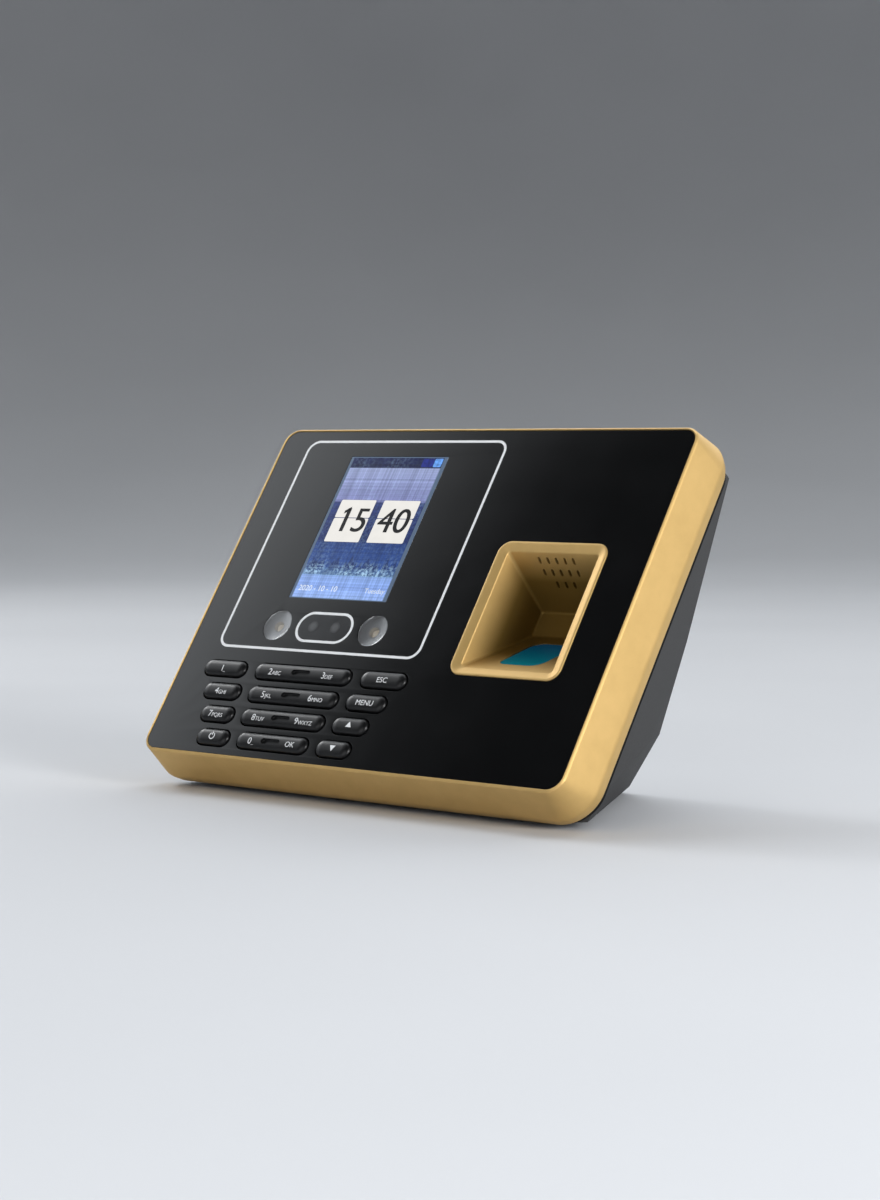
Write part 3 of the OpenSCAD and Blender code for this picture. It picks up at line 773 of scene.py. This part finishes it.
def digits(text):
    """Clock digits that start at the origin, drawn twice for weight. The font's bare 1 gets a flag."""
    cap, shift = 10.4, 0.3
    parts = [lettering(text, cap, 0.1), moved(lettering(text, cap, 0.08), shift)]
    if text[0] == "1":
        stem = max(v.co.x for v in lettering("1", cap, 0.1).verts)
        flag = ((0, 0), (0, -1.5), (-2.6, -3.0), (-2.6, -1.7))
        parts.append(plate([[Vector((stem + x, 0, cap + z)) for x, z in flag]], -0.05, 0.05))
    return joined(parts)


def make_display():
    """The lit screen just under the window's face: its border, picture, clock, date and icons."""
    window = outline_box("display_window")
    blue_grey = lit("display_border", flat_colour((0.11, 0.165, 0.26)), 0.85)
    block = plate([rounded(grown(window, -0.05), 0.3, 0, 3)], 0.02, PANEL_T, 0.08)
    piece("display_border", block, "clear_window", replaces=["display_window"], paint=blue_grey)

    def layer(name, bm, colour_of, strength=1.0, depth=0.0, x=0.0, z=0.0):
        piece(name, moved(bm, x, depth, z), "display_glass", paint=lit(name, colour_of, strength), even=False)

    picture = (-53.6, -11.3, BANDS[0][0], BANDS[-1][0])
    layer("display_picture", plate([rounded(picture, 0.1, 0, 2)], 0, 0.1), landscape, 0.95)

    paper, ink = flat_colour((0.84, 0.82, 0.78), 0.03, 5), flat_colour((0.004, 0.004, 0.005))
    card_halves, digits_z = ((19.9, 29.85), (30.15, 37.6)), 24.3
    for name, text, x0, x1 in (("hours", "15", -50.3, -34.0), ("minutes", "40", -30.3, -13.6)):
        halves = [plate([rounded((x0, x1, *zs), 0.5, 0, 4)], 0, 0.1) for zs in card_halves]
        layer("card_" + name, joined(halves), paper, 1.0, -0.02)
        bm = digits(text)
        layer("digits_" + name, bm, ink, 1.0, 0.0, (x0 + x1 - width(bm)) / 2 - 0.2, digits_z)

    white, foot_z = flat_colour((0.8, 0.87, 0.95)), -0.6
    layer("display_date", lettering("2020 - 10 - 10", 2.3, 0.1), white, 1.0, 0.03, -52.2, foot_z)
    day = lettering("Tuesday", 2.0, 0.1)
    layer("display_weekday", day, white, 0.9, 0.03, -12.2 - width(day), foot_z)

    icons = (("charge", -20.6, -15.4, (0.01, 0.02, 0.2)), ("signal", -15.2, -11.6, (0.12, 0.32, 0.8)))
    for name, x0, x1, colour in icons:
        icon = plate([rounded((x0, x1, 51.9, 55.5), 0.5, 0, 4)], -0.02, 0.1)
        layer("display_icon_" + name, icon, flat_colour(colour, 0.45, 1.4))


def make_camera_window():
    """The smoked window, and the two lenses that show dimly through it."""
    bevelled = plate([window_pill(0.05)], 0.02, PANEL_T, 0.1)
    piece("camera_window_face", bevelled, "dark_window", replaces=["camera_window"])
    x, z = middle(outline_box("camera_window"))
    for name, offset in (("left", -5.2), ("right", 5.0)):
        at = (x + offset, z + 0.2)
        # each lens face carries a painted sheen
        soft = painted_lens_sheen("painted_lens_sheen_" + name, at)
        rings = [disc(r, y, at) for r, y in ((2.4, 0.06), (2.4, 0.012), (1.4, 0.006), (0.6, 0.0))]
        piece("lens_face_" + name, loft(rings), "dark_window", paint=soft)


def painted_lens_sheen(name, at):
    """A lens seen through smoked plastic, with a painted sheen: grey in its middle, fading out at its edge.
    """
    look = Look(name, (0.06, 0.062, 0.065), 0.14)
    away = look.node("ShaderNodeVectorMath", {0: look.at, 1: (at[0], 0, at[1])}, operation="DISTANCE")
    # painted sheen: grey in the lens's middle, fading to dark at its edge
    grey = look.ranged(away.outputs["Value"], 0, 1, start=2.35, end=1.0)
    look.use("Base Color", look.mixed(grey, (0.012, 0.0125, 0.014), (0.075, 0.077, 0.08)))
    look.bump(look.noise(1.2), 0.003)
    return look.mat


def make_lamps():
    """The two round lamp windows, with softened edges."""
    smoked = glass("lamp_glass", (0.66, 0.67, 0.69), 0.02, haze=0.07)
    for node in LAMP_WINDOWS:
        box = outline_box(node)
        r, at, back = (box[1] - box[0]) / 2 - 0.04, middle(box), span(node)[1].y
        profile = [(r - 0.1, back), (r, back - 0.1), (r, 0.16), (r - 0.12, 0.04), (r - 0.3, 0.0)]
        pane = loft([disc(q, y, at) for q, y in profile])
        piece(node + "_face", pane, "dark_window", replaces=[node], paint=smoked)


BOWL_HOLE, BOWL_DEPTH = 2.1, 0.34   # radius of the hole for the LED, and how far the bowl sinks
BOWL_EDGE = 0.3                     # its flat edge
DOME_R, DOME_Y = 1.2, 3.0           # an LED's dome, and the depth of its widest part
LED_FLANGE_R = 1.8


def make_reflectors():
    """Behind each lamp window, a shallow polished bowl round a domed LED on its flange."""
    rise = [math.radians(15 * k) for k in range(6)]
    dome = [(DOME_R * math.cos(a), DOME_Y - DOME_R * math.sin(a)) for a in rise]
    leds = []
    for side in ("left", "right"):
        node = "lamp_reflector_" + side
        x0, x1, *_ = outline_box(node)
        at, r = middle(outline_box(node)), (x1 - x0) / 2
        front, back = [corner.y for corner in span(node)]
        bowl = []
        for k in range(9):
            out = k / 8
            across = BOWL_HOLE + (r - BOWL_EDGE - BOWL_HOLE) * out
            bowl.append((across, front + BOWL_DEPTH * (1 - out ** 2)))
        hole = [(BOWL_HOLE, back), (BOWL_HOLE, front + 0.9)]
        profile = [*hole, *bowl, (r - 0.1, front), (r, front + 0.1), (r, back)]
        dish = loft([disc(q, y, at) for q, y in profile], closed=True)
        piece(f"lamp_bowl_{side}", dish, "reflector", replaces=[node])
        flange = [(LED_FLANGE_R, back), (LED_FLANGE_R, 3.4), (1.65, 3.25), (1.25, 3.2)]
        tip = (0.02, DOME_Y - DOME_R)
        leds.append(loft([disc(q, y, at, 32) for q, y in (*flange, *dome, tip)]))
    glow = {"Emission_Color": (1, 0.84, 0.6, 1), "Emission_Strength": 0.26}
    warm = moulded("led_dome", (0.85, 0.78, 0.6), 0.15, grain=2, depth=0.002, spread=0.03, **glow)
    piece("lamp_led_domes", joined(leds), "white_plastic", replaces=["lamp_leds"], paint=warm)


# ---- finger well ----

# The well's inside box at MOUTH_Y and at END_Y: x low, x high, z low, z high
MOUTH = (33.2, 70.7, -26.4, 18.6)
END = (36.8, 67.1, -0.5, 9.3)
MOUTH_Y, END_Y, WALL = 0.6, 24.0, 1.6
SLOPE = math.atan2(END_Y - MOUTH_Y, END[2] - MOUTH[2])
ROOF = math.atan2(MOUTH[3] - END[3], END_Y - MOUTH_Y)
WELL_X = middle(WELL_RIM)[0]
ON_SLOPE = Matrix.Translation((WELL_X, MOUTH_Y, MOUTH[2])) @ Matrix.Rotation(-SLOPE, 4, "X")
ON_ROOF = Matrix.Translation((WELL_X, MOUTH_Y, MOUTH[3])) @ Matrix.Rotation(-ROOF, 4, "X")
GLASS_AT = 17.4                             # up the slope from the mouth to the glass's middle
GLASS_HALF, GLASS_R = (8.8, 11.8), 4.5
SLOTS = ((3.3, 5), (8.2, 5), (13.2, 3))     # each row's distance along the roof, and its count
SLOT_PITCH = 3.5


def well_at(y, out=0.0):
    """The well's inside box at depth y, or its outside when out is the wall's thickness."""
    t = (y - MOUTH_Y) / (END_Y - MOUTH_Y)
    reach = (-out, out, -out / math.sin(SLOPE), out / math.cos(ROOF))
    return tuple(a + (b - a) * t + r for a, b, r in zip(MOUTH, END, reach))


def make_well():
    """The raised rim, its bevel and the four tapering walls, with slots and a sensor opening."""
    outside = [(WALL + END_Y, 1.2), (PANEL_T, 2)]
    rim = [(0, PANEL_T), (0, -0.12), (0.08, -0.3), (0.26, LIP_TOP), (0.72, LIP_TOP), (0.86, -0.36)]
    bevel = [(2.35, 3.4, -0.3), (0.35, 1.7, 0.46), (0.1, 1.5, 0.6)]
    inside = [(0.95, 1.3), (8, 1.2), (16, 1.1), (23.3, 1.0)]
    end = [(0.25, 0.8, 23.85), (0.7, 0.6, END_Y)]
    outlines = [(well_at(y, WALL), r, y) for y, r in outside]
    outlines += [(grown(WELL_RIM, -inset), WELL_RIM_R - inset, y) for inset, y in rim]
    outlines += [(grown(MOUTH, by), r, y) for by, r, y in bevel]
    outlines += [(well_at(y), r, y) for y, r in inside]
    outlines += [(grown(END, -inset), r, y) for inset, r, y in end]
    loops = [rounded(box, r, y, 8) for box, r, y in outlines]
    slots = []
    for along, count in SLOTS:
        for k in range(count):
            slot = loft([pill(0.85, 0.5, y) for y in (-3, WALL + 3)])
            slot.transform(Matrix.Rotation(math.radians(90), 4, "Y"))
            slot.transform(Matrix.Rotation(math.radians(90), 4, "X"))
            slot.transform(ON_ROOF @ Matrix.Translation(((k - (count - 1) / 2) * SLOT_PITCH, along, 0)))
            slots.append(slot)
    opening = loft([rounded(glass_box(), GLASS_R, y) for y in (-1, WALL + 3)])
    opening.transform(ON_SLOPE)
    shell = carved(loft(loops), joined([*slots, opening]))
    # the well's paint carries painted shade that darkens towards the back
    paint = gold_paint("well_paint", painted_shade_at_back=True)
    piece("finger_well_shell", shell, "gold_paint", replaces=["finger_well"], paint=paint, sharp=40)


def glass_box(shrink=0.0):
    """The sensor glass's outline, measured across and up the slope."""
    half_x, half_z = GLASS_HALF
    return grown((-half_x, half_x, GLASS_AT - half_z, GLASS_AT + half_z), -shrink)


def make_sensor():
    """The sensor glass, let into the slope, with a softened rim and a faint crown."""
    edge = [(0.35, WALL), (0.05, WALL - 0.1), (0.05, 0.45), (0.12, 0.3)]
    top = [(0.3, 0.22), (1.6, 0.16), (5, 0.14)]
    outlines = [(glass_box(inset), max(GLASS_R - inset, 0.5), y) for inset, y in edge + top]
    prism = loft([rounded(*outline) for outline in outlines])
    prism.transform(ON_SLOPE)
    piece("sensor_glass_prism", prism, "teal_glass", replaces=["sensor_glass"])


# ---- keys and legends ----

KEY_PROUD, SHOULDER = 1.5, 0.1      # how far a crown stands out of the panel, and its foot's depth
FULLNESS = 2.5                      # power of the crown's superellipse
RIB_R = 0.8
SHORTEST_ROCKER = 20
LEGEND_T = 0.05
# Each key's legends: a large character and the small ones after it
LEGENDS = {
    "key_1": [("1", "_")], "key_2_3": [("2", "ABC"), ("3", "DEF")], "key_esc": [("", "ESC")],
    "key_4": [("4", "GHI")], "key_5_6": [("5", "JKL"), ("6", "MNO")], "key_menu": [("", "MENU")],
    "key_7": [("7", "PQRS")], "key_8_9": [("8", "TUV"), ("9", "WXYZ")], "key_up": ["up"],
    "key_power": ["power"], "key_0_ok": [("0", "_"), ("", "OK")], "key_down": ["down"],
}


def crown_depth(share):
    """Depth of a key's crown where it has risen by that share of its height."""
    return SHOULDER - (KEY_PROUD + SHOULDER) * share


def keycap(straight, flange_back):
    """A key from the back of its flange up to its crown."""
    flange_front, reach = flange_back - 0.8, FLANGE[1]
    edge = [(reach - 0.15, flange_back), (reach, flange_back - 0.1), (reach, flange_front + 0.1)]
    edge.append((reach - 0.1, flange_front))
    loops = [pill(straight + FLANGE[0] - reach, KEY_R + out, y) for out, y in edge]
    loops.append(pill(straight, KEY_R, flange_front))
    steps = 12
    for k in range(steps + 1):
        a = math.radians(90 * (1 - k / steps))
        r = max(KEY_R * math.sin(a) ** (2 / FULLNESS), 0.02)
        loops.append(pill(straight, r, crown_depth(math.cos(a) ** (2 / FULLNESS))))
    return loft(loops)


def make_key(node):
    """A key and its legends. A single key stands on a round foot. A rocker key has a groove
    across its middle and a rib behind it."""
    at, straight = key_shape(node)
    back = span(node)[1].y
    if 2 * (straight + KEY_R) < SHORTEST_ROCKER:
        flange_back = back - 0.3
        cap = keycap(straight, flange_back)
        foot = loft([disc(2, y, steps=24) for y in (flange_back - 0.1, back)])
    else:
        flange_back = back - RIB_R
        groove = loft([pill(3.25, r, y) for r, y in ((0.8, -0.4), (1.0, -0.55), (1.0, -3))])
        cap = carved(keycap(straight, flange_back), groove)
        foot = loft([disc(RIB_R, y, steps=24) for y in (-KEY_R, KEY_R)])
        upright = Matrix.Rotation(math.radians(90), 4, "X")
        foot.transform(Matrix.Translation((0, flange_back, 0)) @ upright)
    body = next(name for name, empty in frame["bodies"].items() if NODES[node].parent is empty)
    whole = moved(joined([cap, foot]), at[0], 0, at[1])
    piece(node + "_cap", whole, "key_plastic", body=body, replaces=[node])
    marks = LEGENDS[node]
    for i, mark in enumerate(marks):
        offset = 0 if len(marks) == 1 else (2 * i - 1) * 0.555 * (straight + KEY_R)
        shape = SIGNS[mark]() if isinstance(mark, str) else words(*mark)
        lay_on_crown(shape)
        moved(shape, at[0] + offset + 0.35, 0, at[1])
        name = f"{node}_legend_{i + 1}"
        piece(name, shape, "white_plastic", body=body, paint=LEGEND_PAINT, even=False)


def words(large, small):
    """A large character with small ones after it, centred. Small ones alone are larger."""
    parts, x = [], 0.0
    for text, cap in ((large, 2.5), (small, 1.55 if large else 2.05)):
        if text:
            bm = lettering(text, cap, LEGEND_T)
            parts.append(moved(bm, x - min(v.co.x for v in bm.verts)))
            x = max(v.co.x for v in bm.verts) + 0.25
    whole = joined(parts)
    return moved(whole, -(x - 0.25) / 2, 0, -1.6 if large else -1.35)


def triangle(sign):
    """An arrow that points up for a sign of 1 and down for -1."""
    corners = [Vector((x, 0, z * sign)) for x, z in ((1.25, -0.9), (0, 1.25), (-1.25, -0.9))]
    return plate([corners if sign > 0 else corners[::-1]], -LEGEND_T / 2, LEGEND_T / 2)


def power_sign():
    """A ring with a gap at its top and a short bar in the gap."""
    turns = [math.radians(90 + a) for a in range(35, 326, 10)]
    ring = [Vector((1.35 * math.cos(a), 0, 1.35 * math.sin(a))) for a in turns]
    ring += [Vector((1.0 * math.cos(a), 0, 1.0 * math.sin(a))) for a in turns[::-1]]
    bar = rounded((-0.18, 0.18, 0.3, 1.55), 0.15, 0, 3)
    return joined([plate([loop], -LEGEND_T / 2, LEGEND_T / 2) for loop in (ring, bar)])


SIGNS = {"up": lambda: triangle(1), "down": lambda: triangle(-1), "power": power_sign}


def lay_on_crown(bm):
    """Bends a flat legend over the key's crown, cut into strips so that it follows the curve."""
    for k in range(-5, 6):
        everything = [*bm.verts, *bm.edges, *bm.faces]
        bmesh.ops.bisect_plane(bm, geom=everything, plane_co=(0, 0, 0.3 * k), plane_no=(0, 0, 1))
    for v in bm.verts:
        v.co.y += crown_depth((1 - abs(v.co.z / KEY_R) ** FULLNESS) ** (1 / FULLNESS))


# ---- CAD nodes that stay ----


def dress_cad_nodes():
    """Gives each CAD node its slot's material and smooth round faces, and softens the edges
    of those that show most."""
    soft = {"rear_shell": 0.7, "rubber_feet": 0.25, "gasket": 0.15, "case_screws": 0.15, "usb_shell": 0.08}
    for part in frame["record"]["subparts"]:
        obj = NODES[part["node"]]
        obj.data.materials.clear()
        obj.data.materials.append(LOOKS[part["material_slot"]])
        obj.data.shade_smooth()
        obj.data.set_sharp_from_angle(angle=math.radians(30))
        if part["node"] in soft:
            soften(obj, soft[part["node"]])


def soften(obj, radius):
    """Rounds a CAD node's edges by radius millimetres, in its modifiers only."""
    weld = obj.modifiers.new("weld", "WELD")
    weld.merge_threshold = 0.01 * MM
    flat = obj.modifiers.new("flat faces", "DECIMATE")
    flat.decimate_type = "DISSOLVE"
    flat.angle_limit = math.radians(0.5)
    edges = obj.modifiers.new("soft edges", "BEVEL")
    edges.width = radius * MM
    edges.segments = 3
    edges.limit_method = "ANGLE"
    edges.angle_limit = math.radians(12)
    edges.use_clamp_overlap = True
    even = obj.modifiers.new("flat faces stay flat", "WEIGHTED_NORMAL")
    even.keep_sharp = True


# ---- putting it together ----

bpy.context.scene.view_settings.view_transform = "Standard"
make_camera()
make_world()
make_stage()
softbox("key_light", (1.25, -0.19, 0.38), 0.45, 14)
softbox("left_light", (-1.12, 0.11, 0.82), 0.35, 4)
softbox("front_light", (0.1, -1.3, 0.5), 1.0, 4)
softbox("top_light", (0, 1.0, 1.4), 1.0, 5)

LOOKS = make_looks()
LEGEND_PAINT = moulded("legend_paint", (0.8, 0.81, 0.82), 0.4, grain=0.2, depth=0.003, spread=0.03)
dress_cad_nodes()
make_housing_ring()
make_housing_floor()
make_panel()
make_prints()
make_display()
make_camera_window()
make_lamps()
make_reflectors()
make_well()
make_sensor()
for key in KEYS:
    make_key(key)

boxes = {"cad": CAD_BOX, "visual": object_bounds()}
{name: [list(corner) for corner in box] for name, box in boxes.items()}
